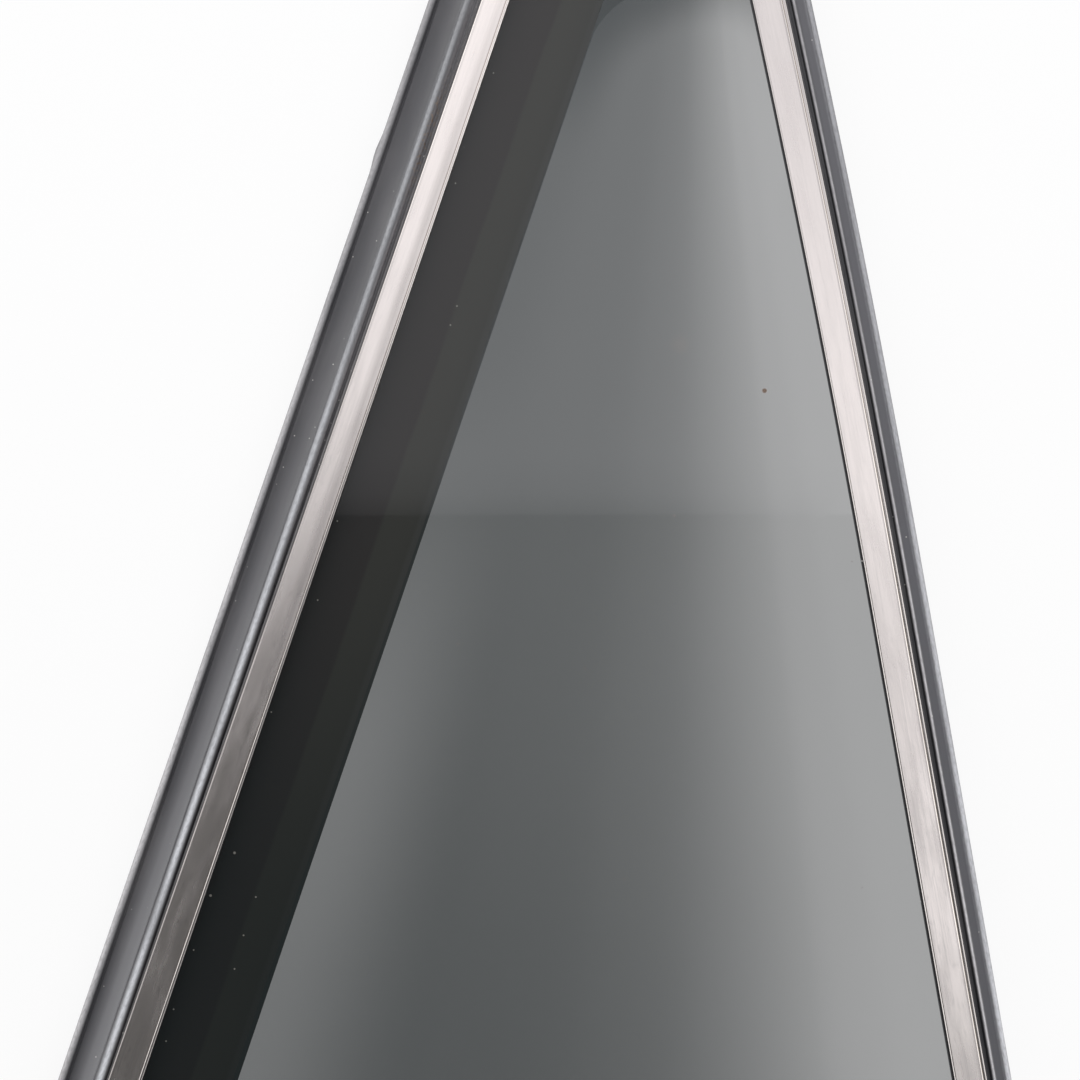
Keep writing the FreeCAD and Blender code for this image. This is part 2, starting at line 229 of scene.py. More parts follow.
def softened(corners):
    # rounds each corner that has a third number, its radius
    loop = []
    for k, corner in enumerate(corners):
        at = Vector(corner[:2])
        if len(corner) == 2:
            loop.append(at)
            continue
        back = (Vector(corners[k - 1][:2]) - at).normalized()
        ahead = (Vector(corners[(k + 1) % len(corners)][:2]) - at).normalized()
        half = math.acos(max(-1, min(1, back.dot(ahead)))) / 2
        inside = (back + ahead).normalized()
        center = at + inside * (corner[2] / math.sin(half))
        run = corner[2] / math.tan(half)
        loop += arc(at + back * run, center - inside * corner[2], at + ahead * run, 4)
    return [(p[0], p[1]) for p in loop]


def backOf(flangeInset, footInset, lipHeight):
    # from under the border at the flange's free edge, out to the silhouette
    back, foot, slope = form["flangeBack"], form["footBack"], form["footSlope"]
    return [
        (flangeInset, form["enamelBack"]),
        (flangeInset, back, form["flangeRound"]),
        (footInset + form["footWidth"] + slope, back),
        (footInset + form["footWidth"], foot, form["footInnerRound"]),
        (footInset, foot, form["footOuterRound"]),
        (footInset * form["underLip"], (back + lipHeight) / 2 - slope, form["underLipRound"]),
    ]


belt = {
    "band": 38.3, "lip": 2.4, "lipHeight": -2.9, "creaseStep": 0.35, "creaseDrop": 0.6, "creaseRise": 0.25,
    "crease": 3.4, "channelDrop": 1, "ridge": 9.2, "ridgeEnd": 12.1, "ridgeFoot": -1.2, "ridgeTop": 0.5,
    "ridgeBack": -0.6, "grooveStep": 0.45, "grooveFloor": -1.3, "grooveEnd": 13.4, "grooveRound": 0.15,
    "wallStep": 0.5, "wallTop": -0.1, "smallRound": 0.12,
    "outer": 14.4, "inner": 24.8, "outerDrift": 1.4, "innerDrift": -1.6,
    "top": 1.5, "foot": -0.6, "innerFoot": -0.01, "gauge": 0.6, "outerRound": 0.9,
    "rim": 1.1, "rimRise": 0.25, "rimMiddle": 0.55, "rimDrop": 0.35, "rimGap": 0.3, "rimDip": (0.15, 0.14),
}
roof = {
    "band": 18.1, "lip": 1.8, "lipHeight": -2.6, "shelf": 4.8, "shelfHeight": -2.5, "shelfStep": 0.25,
    "shelfDrop": 0.15, "shelfRound": 0.1, "ridgeEnd": 5.8, "ridgeTop": -1.6, "grooveFloor": -3.1,
    "grooveRound": 0.15, "outer": 7.5, "inner": 17.4, "top": 1.8, "low": 0.9, "foot": -1.2, "gauge": 0.6,
    "outerRound": 0.5, "curl": 0.6, "hem": 1.1, "hemStep": 0.45, "hemRounds": (0.08, 0.15),
    "hemEdge": (0.05, 0.1), "hemCrest": (0.05, 0.15), "hemSlope": (0.36, 0.02),
    "innerWall": 0.01, "innerLip": 18.1, "innerLipHeight": 0.45, "innerLipTop": (0.65, 0.08),
    "innerLipFoot": 0.1, "pane": 12.5, "flange": 17.6, "footShare": 1.6,
}
end = {"band": 18, "round": 1.8, "roundShare": 0.3, "flush": -0.1, "pane": 9, "overlap": 10}


def beltRailLoop():
    b, seat = belt, form["seat"]
    lipTop = b["lipHeight"] + b["lip"] / 2
    under = b["top"] - b["gauge"] - seat
    lowest = (b["lipHeight"] + b["ridgeFoot"]) / 2 - b["channelDrop"]
    middle = (b["crease"] + b["ridge"]) / 2
    ridgeMiddle = (b["ridge"] + b["ridgeEnd"]) / 2
    creaseSide = (b["crease"], b["lipHeight"] - b["creaseRise"])
    ridgeFoot = (b["ridge"], b["ridgeFoot"])
    wall, pane = b["outer"] - seat, form["paneBelt"] - seat
    corners = arc((0, b["lipHeight"]), (b["lip"] / 2, lipTop), (b["lip"], b["lipHeight"]), 12)
    corners += [(b["lip"] + b["creaseStep"], b["lipHeight"] - b["creaseDrop"], b["smallRound"])]
    corners += arc(creaseSide, (middle, lowest), ridgeFoot, 14)
    corners += arc(ridgeFoot, (ridgeMiddle, b["ridgeTop"]), (b["ridgeEnd"], b["ridgeBack"]), 14)[1:]
    corners += [
        (b["ridgeEnd"] + b["grooveStep"], b["grooveFloor"], b["grooveRound"]),
        (b["grooveEnd"], b["grooveFloor"], b["grooveRound"]),
        (b["outer"] - b["wallStep"], b["wallTop"], b["smallRound"]),
        (wall, b["wallTop"]),
        (wall, b["foot"] - seat),
        (b["outer"] + b["gauge"] + seat, b["foot"] - seat),
        (b["outer"] + b["gauge"] + seat, under),
        (b["inner"] - b["gauge"] - seat, under),
        (b["inner"] - b["gauge"] - seat, seat),
        (pane, seat),
        (pane, form["enamelBack"]),
    ]
    return softened(corners + backOf(b["band"], (b["lip"] + b["ridge"]) / 2, b["lipHeight"]))


def beltTrimLoop():
    b = belt
    rim = b["inner"] - b["rim"]
    crest = (rim + b["rimMiddle"], b["top"] + b["rimRise"])
    dipInset, dipDepth = b["rimDip"]
    return softened([
        (b["outer"], b["foot"]),
        (b["outer"], b["top"], b["outerRound"]),
        (rim - b["rimGap"], b["top"]),
        (rim - dipInset, b["top"] - dipDepth),
        *arc((rim, b["top"]), crest, (b["inner"], b["top"] - b["rimDrop"]), 10),
        (b["inner"], b["innerFoot"]),
        (b["inner"] - b["gauge"], b["innerFoot"]),
        (b["inner"] - b["gauge"], b["top"] - b["gauge"]),
        (b["outer"] + b["gauge"], b["top"] - b["gauge"]),
        (b["outer"] + b["gauge"], b["foot"]),
    ])


def roofRailLoop():
    r, seat = roof, form["seat"]
    lipTop = r["lipHeight"] + r["lip"] / 2
    slope = (r["outer"] - r["ridgeEnd"]) / 4
    hemUnder = r["low"] - r["hemStep"] - r["gauge"] - seat
    wall, lipHeight = r["inner"] + r["innerWall"], r["innerLipHeight"]
    ridge = ((r["shelf"] + r["ridgeEnd"]) / 2, r["ridgeTop"])
    onward, upward = r["innerLipTop"]
    pane = r["pane"] - seat
    corners = arc((0, r["lipHeight"]), (r["lip"] / 2, lipTop), (r["lip"], r["lipHeight"]), 12)
    corners += [(r["lip"] + r["shelfStep"], r["shelfHeight"] - r["shelfDrop"], r["shelfRound"])]
    corners += arc((r["shelf"], r["shelfHeight"]), ridge, (r["ridgeEnd"], r["shelfHeight"]), 10)
    corners += [
        (r["ridgeEnd"] + slope, r["grooveFloor"], r["grooveRound"]),
        (r["outer"] - slope, r["grooveFloor"], r["grooveRound"]),
        (r["outer"] - slope, r["foot"] - seat),
        (r["outer"] + r["gauge"] + seat, r["foot"] - seat),
        (r["outer"] + r["gauge"] + seat, hemUnder),
        (r["outer"] + r["hem"], hemUnder),
        (r["inner"] - r["gauge"] - seat, r["top"] - r["gauge"] - seat),
        (r["inner"] - r["gauge"] - seat, lipHeight - seat),
        (wall, lipHeight - seat),
    ]
    innerFoot = (r["innerLip"], r["innerLipFoot"])
    corners += arc((wall, lipHeight + upward), (wall + onward, lipHeight), innerFoot, 5)
    corners += [(r["innerLip"], seat), (pane, seat), (pane, form["enamelBack"])]
    return softened(corners + backOf(r["flange"], r["lip"] * r["footShare"], r["lipHeight"]))


def roofTrimLoop():
    r = roof
    low, hem = r["low"], r["outer"] + r["hem"]
    (edgeInset, edgeDrop), (crestInset, crestDrop) = r["hemEdge"], r["hemCrest"]
    slopeInset, slopeRise = r["hemSlope"]
    crestRound, slopeRound = r["hemRounds"]
    return softened([
        (r["outer"], r["foot"]),
        (r["outer"], low - r["hemStep"], r["outerRound"]),
        (hem - edgeInset, low - r["hemStep"] - edgeDrop),
        (hem + crestInset, low - crestDrop, crestRound),
        (hem + slopeInset, low + slopeRise, slopeRound),
        (r["inner"], r["top"], r["curl"]),
        (r["inner"], r["innerLipHeight"]),
        (r["inner"] - r["gauge"], r["innerLipHeight"]),
        (r["inner"] - r["gauge"], r["top"] - r["gauge"]),
        (hem, low - r["hemStep"] - r["gauge"]),
        (r["outer"] + r["gauge"], low - r["hemStep"] - r["gauge"]),
        (r["outer"] + r["gauge"], r["foot"]),
    ])


def endRailLoop():
    e = end
    low, part, pane = e["flush"] - e["round"], e["round"] * e["roundShare"], e["pane"] - form["seat"]
    corners = arc((0, low), (part, e["flush"] - part), (e["round"], e["flush"]), 6)
    corners += [(pane, e["flush"]), (pane, form["enamelBack"])]
    return softened(corners + backOf(e["band"], e["round"] * 2, low))


def beltDrift(inset, height):
    # how far a spot of the belt section has moved inwards by the time it reaches the nose
    b = belt
    if inset > b["inner"] + 0.1 or inset <= b["crease"]:
        return 0
    if height < form["enamelBack"]:
        return b["outerDrift"] / 2 if height < form["flangeBack"] - 0.1 else 0
    if inset < b["ridge"]:
        return b["outerDrift"] * (inset - b["crease"]) / (b["ridge"] - b["crease"])
    share = max(0, (inset - b["outer"] - b["gauge"]) / (b["inner"] - b["outer"] - b["gauge"]))
    return b["outerDrift"] + (b["innerDrift"] - b["outerDrift"]) * share


# Paths, in plan and clockwise, along the middle of each section


def lineMesh(name, points, closed=False, drifts=None):
    mesh = bpy.data.meshes.new(name)
    count = len(points)
    edges = [(k, (k + 1) % count) for k in range(count if closed else count - 1)]
    mesh.from_pydata([Vector(p) * mm for p in points], edges, [])
    if drifts:
        layer = mesh.attributes.new("drift", "FLOAT", "POINT")
        layer.data.foreach_set("value", [drift * mm for drift in drifts])
    return linked(name, mesh)


def section(name, loop, band, drift=None):
    points = [(height, inset - band / 2, 0) for inset, height in loop]
    drifts = [drift(*spot) for spot in loop] if drift else [0] * len(loop)
    return lineMesh(name, points, True, drifts)


def beltPath():
    middle = belt["band"] / 2
    ends = [Vector((middle, -form["pastEnd"], 0)), Vector((middle, noseTip.y, 0))]
    return lineMesh("beltPath", [p + toFrame for p in ends])


def roofPath():
    inset = roof["band"] / 2
    last = bowAngle(0, form["noseRound"])
    spans = form["bowSpans"]
    points = [bowPoint(last + (form["roofLean"] - last) * k / spans, inset) for k in range(spans + 1)]
    points.append(roofStart - roofUp * form["pastEnd"] - roofOut * inset)
    return lineMesh("roofPath", [p + toFrame for p in points])


def endPath():
    line = endInward * (end["band"] / 2)
    reaches = (form["endLength"] - end["overlap"], end["overlap"])
    return lineMesh("endPath", [line + endAlong * reach + toFrame for reach in reaches])


# Plan shapes that trim the rails' ends


def crossing(point, along, other, otherAlong):
    between = other - point
    turn = along.x * otherAlong.y - along.y * otherAlong.x
    return point + along * ((between.x * otherAlong.y - between.y * otherAlong.x) / turn)


def outline(inset, endInset, noseRound, cornerRound):
    # the three-sided silhouette moved inwards, with its nose and corners rounded
    up = Vector((0, 1, 0))
    left = crossing(endInward * endInset, endAlong, Vector((inset, 0, 0)), up)
    right = crossing(endInward * endInset, endAlong, roofStart - roofOut * inset, roofUp)
    tipAngle = bowAngle(inset + noseRound, inset + noseRound)
    center = bowPoint(tipAngle, inset + noseRound)

    def corner(at, back, ahead):
        half = math.acos(back.dot(ahead)) / 2
        inside = (back + ahead).normalized()
        middle = at + inside * (cornerRound / math.sin(half))
        run = cornerRound / math.tan(half)
        spots = arc((at + back * run)[:2], (middle - inside * cornerRound)[:2], (at + ahead * run)[:2], 10)
        return [Vector((*spot, 0)) for spot in spots]

    points = corner(left, up, endAlong) + corner(right, -endAlong, roofUp)
    first = form["roofLean"]
    spans = form["bowSpans"]
    points += [bowPoint(first + (tipAngle - first) * k / spans, inset) for k in range(spans + 1)]
    points += [center + atAngle(tipAngle + (180 - tipAngle) * k / 16) * noseRound for k in range(1, 17)]
    return points


def prism(name, points, bottom=-form["tall"], top=form["tall"]):
    mesh = bpy.data.meshes.new(name)
    bm = bmesh.new()
    face = bm.faces.new([bm.verts.new((p + toFrame + Vector((0, 0, bottom))) * mm) for p in points])
    raised = bmesh.ops.extrude_face_region(bm, geom=[face])["geom"]
    moved = [v for v in raised if isinstance(v, bmesh.types.BMVert)]
    bmesh.ops.translate(bm, verts=moved, vec=(0, 0, (top - bottom) * mm))
    bmesh.ops.recalc_face_normals(bm, faces=bm.faces)
    bm.to_mesh(mesh)
    bm.free()
    return linked(name, mesh)


def insideOfEnd(name, setback, beyond=120, reach=800):
    line = endInward * setback
    near, far = line - endAlong * beyond, line + endAlong * (form["endLength"] + beyond)
    return prism(name, [near, far, far + endInward * reach, near + endInward * reach])


def mitre(name, side, gap, beyond=120, reach=180):
    # the plan past the mitre of the two trims: 1 towards the roof edge, -1 towards the belt edge
    innerPair = (belt["inner"] + belt["innerDrift"], roof["inner"])
    outerPair = (belt["outer"] + belt["outerDrift"], roof["outer"])
    low, high = [bowPoint(bowAngle(*pair), pair[1]) for pair in (innerPair, outerPair)]
    run = (high - low).normalized()
    shift = Vector((-side * gap / 2, 0, 0))
    away = Vector((side * reach, 0, 0))
    start, stop = low - run * gap * 4, high + run * beyond
    points = [start + shift, stop + shift, stop + away, start + away]
    return prism(name, points if side > 0 else points[::-1])


# The tree that sweeps a section along a path on the bent glass


def sweepTree():
    tree = bpy.data.node_groups.new("sweepOnBentGlass", "GeometryNodeTree")
    sockets = tree.interface
    sockets.new_socket("Geometry", in_out="OUTPUT", socket_type="NodeSocketGeometry")
    kinds = {
        "Geometry": ["Path"], "Object": ["Section", "Keep Inside", "Cut Away"], "Material": ["Finish"],
        "Float": ["Spacing", "Bend Radius", "Crown X", "Crown Height", "Drift Start", "Drift Length"],
    }
    for kind, names in kinds.items():
        for name in names:
            sockets.new_socket(name, in_out="INPUT", socket_type="NodeSocket" + kind)
    make = Maker(tree)
    given = make.add("NodeGroupInput")
    curve = make.add("GeometryNodeMeshToCurve", None, {"Mesh": given.output("Path")})
    spaced = {"Curve": curve, "Length": given.output("Spacing")}
    curve = make.add("GeometryNodeResampleCurve", {"mode": "LENGTH"}, spaced)
    parts = make.add("ShaderNodeSeparateXYZ", None, {0: make.add("GeometryNodeInputPosition")})
    x, y = parts.output("X"), parts.output("Y")
    bend = given.output("Bend Radius")
    off = x - given.output("Crown X")
    rise = (bend * bend - off * off).root()
    onGlass = make.add("ShaderNodeCombineXYZ", None, {
        "X": x, "Y": y, "Z": rise - bend + given.output("Crown Height"),
    })
    curve = make.add("GeometryNodeSetPosition", None, {"Geometry": curve, "Position": onGlass})
    outwards = make.add("ShaderNodeCombineXYZ", None, {"X": off / bend, "Z": rise / bend})
    curve = make.add("GeometryNodeSetCurveNormal", {"mode": "FREE"}, {"Curve": curve, "Normal": outwards})
    along = make.add("GeometryNodeInputTangent")
    inwards = make.add("ShaderNodeVectorMath", {"operation": "CROSS_PRODUCT"}, {0: along, 1: outwards})
    share = (y - given.output("Drift Start")) / given.output("Drift Length")
    scaled = make.add("ShaderNodeVectorMath", {"operation": "SCALE"}, {0: inwards, "Scale": share})
    stored = {"Geometry": curve, "Name": "toNose", "Value": scaled}
    curve = make.add("GeometryNodeStoreNamedAttribute", {"data_type": "FLOAT_VECTOR"}, stored)

    def shown(name):
        wanted = {"Object": given.output(name)}
        info = make.add("GeometryNodeObjectInfo", {"transform_space": "ORIGINAL"}, wanted)
        return info.output("Geometry")

    loop = make.add("GeometryNodeMeshToCurve", None, {"Mesh": shown("Section")})
    swept = make.add("GeometryNodeCurveToMesh", None, {
        "Curve": curve, "Profile Curve": loop, "Fill Caps": True,
    })
    drift = make.add("GeometryNodeInputNamedAttribute", {"data_type": "FLOAT"}, {"Name": "drift"})
    toNose = make.add("GeometryNodeInputNamedAttribute", {"data_type": "FLOAT_VECTOR"}, {"Name": "toNose"})
    moved = make.add("ShaderNodeVectorMath", {"operation": "SCALE"}, {0: toNose, "Scale": drift})
    swept = make.add("GeometryNodeSetPosition", None, {"Geometry": swept, "Offset": moved})
    solver = {"operation": "INTERSECT", "solver": "EXACT"}
    kept = make.add("GeometryNodeMeshBoolean", solver, {"Mesh 2": [swept, shown("Keep Inside")]})
    solver = {"operation": "DIFFERENCE", "solver": "EXACT"}
    kept = make.add("GeometryNodeMeshBoolean", solver, {"Mesh 1": kept, "Mesh 2": shown("Cut Away")})
    kept = make.add("GeometryNodeSetShadeSmooth", None, {"Geometry": kept})
    whole = make.add("GeometryNodeRealizeInstances", None, {"Geometry": kept})
    finished = make.add("GeometryNodeSetMaterial", None, {
        "Geometry": whole, "Material": given.output("Finish"),
    })
    make.add("NodeGroupOutput", None, {0: finished})
    return tree


def swept(name, tree, path, inputs):
    # runs the tree on a path and returns its result as a plain mesh
    fixed = {
        "Bend Radius": form["bend"] * mm,
        "Crown X": (crownX + toFrame.x) * mm,
        "Crown Height": crownHeight * mm,
        "Drift Start": toFrame.y * mm,
        "Drift Length": noseTip.y * mm,
    }
    modifier = path.modifiers.new("sweep", "NODES")
    modifier.node_group = tree
    for socket in tree.interface.items_tree:
        if socket.in_out == "INPUT" and socket.name != "Path":
            modifier[socket.identifier] = {**fixed, **inputs}[socket.name]
    bpy.context.view_layer.update()
    seen = path.evaluated_get(bpy.context.evaluated_depsgraph_get())
    mesh = bpy.data.meshes.new_from_object(seen)
    mesh.name = name
    path.modifiers.clear()
    for layer in ("drift", "toNose"):
        if layer in mesh.attributes:
            mesh.attributes.remove(mesh.attributes[layer])
    print(name, len(mesh.polygons), "faces")
    return mesh


def finishedPiece(name, meshes, material, sharpOver=40):
    # joins meshes into one smooth piece whose flat faces stay flat
    bm = bmesh.new()
    for mesh in meshes:
        bm.from_mesh(mesh)
    bmesh.ops.remove_doubles(bm, verts=bm.verts, dist=1e-6)
    bmesh.ops.recalc_face_normals(bm, faces=bm.faces)
    for face in bm.faces:
        face.smooth = True
    joined = bpy.data.meshes.new(name)
    bm.to_mesh(joined)
    bm.free()
    joined.materials.append(material)
    for polygon in joined.polygons:
        polygon.material_index = 0
    joined.set_sharp_from_angle(angle=math.radians(sharpOver))
    piece = linked(name, joined)
    weighted = piece.modifiers.new("flatFacesStayFlat", "WEIGHTED_NORMAL")
    weighted.keep_sharp = True
    return piece


nose = {"setback": 0.4, "topHeight": -0.9, "length": 42, "bevel": 0.8, "cornerRound": 9}


def noseBlock():
    # the solid end of the moulding, bevelled round its top
    n = nose
    plan = outline(n["setback"], n["setback"], form["noseRound"] - n["setback"], n["cornerRound"])
    block = prism("noseBlock", plan)
    bm = bmesh.new()
    bm.from_mesh(block.data)
    lean = (noseTip.x - crownX) / form["bend"]
    up = Vector((lean, 0, math.sqrt(1 - lean ** 2)))
    onGlass = noseTip + toFrame + Vector((0, 0, glassHeight(noseTip.x) + crownHeight))
    near = onGlass - Vector((0, n["length"] + form["noseRound"], 0))
    for place, outwards in (
        (onGlass + up * n["topHeight"], up),
        (onGlass + up * form["footBack"], -up),
        (near, Vector((0, -1, 0))),
    ):
        geometry = bm.verts[:] + bm.edges[:] + bm.faces[:]
        cut = bmesh.ops.bisect_plane(
            bm, geom=geometry, plane_co=place * mm, plane_no=outwards, clear_outer=True
        )
        edges = [e for e in cut["geom_cut"] if isinstance(e, bmesh.types.BMEdge)]
        bmesh.ops.contextual_create(bm, geom=edges)
    onTop = [v for v in bm.verts if abs((v.co / mm - onGlass).dot(up) - n["topHeight"]) < 0.01]
    rim = [e for e in bm.edges if all(v in onTop for v in e.verts)]
    bmesh.ops.bevel(bm, geom=rim, offset=n["bevel"] * mm, segments=3, profile=0.5, affect="EDGES")
    bm.to_mesh(block.data)
    bm.free()
    return block.data


# how far in the clear area's edges lie, and its end at the nose
clearNose = {
    "belt": 50.4, "roof": 17.9, "radius": 41, "tangentY": 382.8, "cornerRound": 5,
    "edgeReach": 60, "edgeSteps": 5, "fromCorner": 18, "toBelt": 176, "arcSpans": 24, "tail": (12, -30),
}


def clearNoseOpening():
    # the clear area's end: a wide arc off the belt side, and a tight corner at the roof side
    c = clearNose
    center = Vector((c["belt"] + c["radius"], c["tangentY"], 0))
    low, high = bowAngle(center.x, c["roof"]), bowAngle(c["belt"], c["roof"])
    for k in range(40):
        middle = (low + high) / 2
        inArc = (bowPoint(middle, c["roof"]) - center).length < c["radius"]
        low, high = (middle, high) if inArc else (low, middle)
    corner = bowPoint(low, c["roof"])
    step = math.degrees(c["edgeReach"] / c["edgeSteps"] / form["roofBow"])
    plan = [bowPoint(low - step * k, c["roof"])[:2] for k in range(c["edgeSteps"], 0, -1)]
    plan.append((corner.x, corner.y, c["cornerRound"]))
    turn = math.degrees(math.atan2(corner.y - center.y, corner.x - center.x)) + c["fromCorner"]
    spans = c["arcSpans"]
    for k in range(spans + 1):
        plan.append((center + atAngle(turn + (c["toBelt"] - turn) * k / spans) * c["radius"])[:2])
    tailX, tailY = c["tail"]
    plan.append((c["belt"] + tailX, c["tangentY"] + tailY))
    return prism("clearNose", [Vector((x, y, 0)) for x, y in softened(plan)])


def without(mesh, cutter):
    # the mesh with the cutter's shape taken out of it
    holder = linked("holder", mesh)
    cut = holder.modifiers.new("cut", "BOOLEAN")
    cut.object = cutter
    cut.solver = "EXACT"
    bpy.context.view_layer.update()
    result = bpy.data.meshes.new_from_object(holder.evaluated_get(bpy.context.evaluated_depsgraph_get()))
    bpy.data.objects.remove(holder)
    return result


# how far the clear area's belt edge leans inwards, between two places along it
clearDrift = {"from": 95, "to": -245, "near": 0.4, "far": 1.5}


def bentCopy(node, name, material, faces, opening=None, spacing=5):
    # the node's own mesh, cut into narrow strips and laid on true cylinders at these depths
    mesh = frame["nodes"][node].data.copy()
    if opening:
        mesh = without(mesh, opening)
    mesh.name = name
    bm = bmesh.new()
    bm.from_mesh(mesh)
    bmesh.ops.remove_doubles(bm, verts=bm.verts, dist=1e-6)
    xs = [v.co.x for v in bm.verts]
    strips = int((max(xs) - min(xs)) / (spacing * mm))
    for k in range(1, strips + 1):
        place = Vector((min(xs) + k * spacing * mm, 0, 0))
        geometry = bm.verts[:] + bm.edges[:] + bm.faces[:]
        bmesh.ops.bisect_plane(bm, geom=geometry, plane_co=place, plane_no=(1, 0, 0))
    axisX = crownX + toFrame.x
    centerZ = crownHeight - form["bend"]
    for vertex in bm.verts:
        x, z = vertex.co.x / mm - axisX, vertex.co.z / mm - centerZ
        depth = form["bend"] - math.hypot(x, z)
        laid = min(faces, key=lambda pair: abs(pair[0] - depth))[1]
        if opening and abs(x + axisX - toFrame.x - clearNose["belt"]) < 0.2:
            d = clearDrift
            share = (vertex.co.y / mm - d["from"]) / (d["to"] - d["from"])
            x += d["near"] + (d["far"] - d["near"]) * share
            vertex.co.x = (x + axisX) * mm
        vertex.co.z = (math.sqrt((form["bend"] - laid) ** 2 - x * x) + centerZ) * mm
    for face in bm.faces:
        face.smooth = True
    bm.to_mesh(mesh)
    bm.free()
    normals = []
    for polygon in mesh.polygons:
        for k in polygon.loop_indices:
            offset = (mesh.vertices[mesh.loops[k].vertex_index].co.x / mm - axisX) / form["bend"]
            radial = Vector((offset, 0, math.sqrt(1 - offset ** 2)))
            side = radial.dot(polygon.normal)
            normals.append(radial * math.copysign(1, side) if abs(side) > 0.9 else polygon.normal.copy())
    mesh.normals_split_custom_set(normals)
    mesh.materials.clear()
    mesh.materials.append(material)
    return linked(name, mesh)


# Finishes. A place on the part is read from Object coordinates, in millimetres


def newMaterial(name):
    material = bpy.data.materials.new(name)
    material.use_nodes = True
    material.node_tree.nodes.clear()
    make = Maker(material.node_tree)
    coordinates = make.add("ShaderNodeTexCoord", output="Object")
    return material, make, coordinates


def finish(make, settings, colour, roughness, wires):
    # constants straight on the sockets, patterns through their wires
    patterns = {"Base Color": colour, "Roughness": roughness, **wires}
    surface = make.add("ShaderNodeBsdfPrincipled", None, {**settings, **patterns})
    make.add("ShaderNodeOutputMaterial", None, {"Surface": surface})


def bumped(make, strength, depth, height):
    inputs = {"Strength": strength, "Distance": depth * mm, "Height": height}
    return {"Normal": make.add("ShaderNodeBump", None, inputs)}


def axes(make, coordinates):
    parts = make.add("ShaderNodeSeparateXYZ", None, {0: coordinates})
    return parts.output("X") / mm, parts.output("Y") / mm


def insetFromEnd(x, y):
    return (x - toFrame.x) * endInward.x + (y - toFrame.y) * endInward.y


def edgeAxes(make, coordinates):
    # insets from the straight belt edge and from the roof edge, and a place laid along the nearer one
    x, y = axes(make, coordinates)
    fromBelt = x - toFrame.x
    center = bowCenter + toFrame
    offX, offY = x - center.x, y - center.y
    below = (offX * roofUp.x + offY * roofUp.y).lower(0)
    fromRoof = form["roofBow"] - (offX * offX + offY * offY - below * below).root()
    laid = make.add("ShaderNodeCombineXYZ", None, {0: fromBelt.lower(fromRoof) * mm, 1: y * mm})
    return x, y, fromBelt, fromRoof, laid


def noise(make, coordinates, size, detail=2, stretch=(1, 1, 1)):
    # 0 to 1, with blobs of about this size in millimetres
    scale = tuple(1 / (size * mm * k) for k in stretch)
    placed = make.add("ShaderNodeMapping", None, {"Vector": coordinates, "Scale": scale})
    return make.add("ShaderNodeTexNoise", None, {"Vector": placed, "Scale": 1, "Detail": detail})


def specks(make, coordinates, spacing, size, seed):
    # small dots, one to a cell, most of them left out
    placed = make.add("ShaderNodeMapping", None, {
        "Vector": coordinates, "Scale": (1 / (spacing * mm),) * 3, "Location": (seed, seed, 0),
    })
    cell = make.add("ShaderNodeTexVoronoi", {"voronoi_dimensions": "2D"}, {"Vector": placed, "Scale": 1})
    chance = make.add("ShaderNodeSeparateColor", None, {0: cell.output("Color")})
    reach = size / spacing
    dot = cell.output("Distance").ramp(reach * 0.5, reach, 1, 0)
    return dot * chance.output("Red").ramp(0.78, 0.8)


def spot(x, y, place, reach):
    # a soft dot at a place on the part
    offX, offY = x - place[0], y - place[1]
    return (offX * offX + offY * offY).root().ramp(reach * 0.4, reach, 1, 0)


tintedGlass = {
    # opacity of one face of the pane, across the fan between the belt and roof edges; its rise and fall
    # across the fan is painted shade, the rails' soft shadow on the floor seen through the glass
    "fan": [(0, 0.655), (0.25, 0.655), (0.45, 0.632), (0.62, 0.564), (0.8, 0.438), (0.9, 0.392), (1, 0.376)],
    "clearEnd": 24, "edge": 0.4, "overBorder": 0.42,
    # painted shade added to it: darker towards the wide end, lighter beside the border towards the wide end,
    # and darker round and near the nose
    "deeper": (-40, -220, 0, 0.05), "deeperAcross": (0.65, 0.9, 1, 0),
    "besideBorder": (-150, 25, -0.115, 0.03), "besideAcross": (0, 0.24, 1, 0),
    "noseRing": (0.6, 1.02), "noseReach": (-30, 25), "noseShade": 0.14, "noseDarker": (100, 170, 0, 0.05),
    "patches": (45, 0.012), "hazeSize": 12, "haze": 0.012, "roughness": 0.012, "markRoughness": 0.3,
    "colour": (0.006, 0.015, 0.017), "markColour": (0.16, 0.09, 0.05),
    "marks": [((-10.0, 21.7), 1.1, 0.85), ((-38.6, 26.6), 3.4, 0.12), ((-23.5, -22.9), 0.5, 0.5)],
    "specks": (34, 0.35, 3), "speckStrength": 0.5,
}


def fanShare(make, x, y):
    # 0 along the clear area's belt edge to 1 along its roof edge
    apexAngle = bowAngle(clearNose["belt"], clearNose["roof"])
    apex = bowPoint(apexAngle, clearNose["roof"]) + toFrame
    whole = math.radians((form["roofLean"] + apexAngle) / 2)
    return make.add("ShaderNodeMath", {"operation": "ARCTAN2"}, {0: x - apex.x, 1: apex.y - y}) / whole
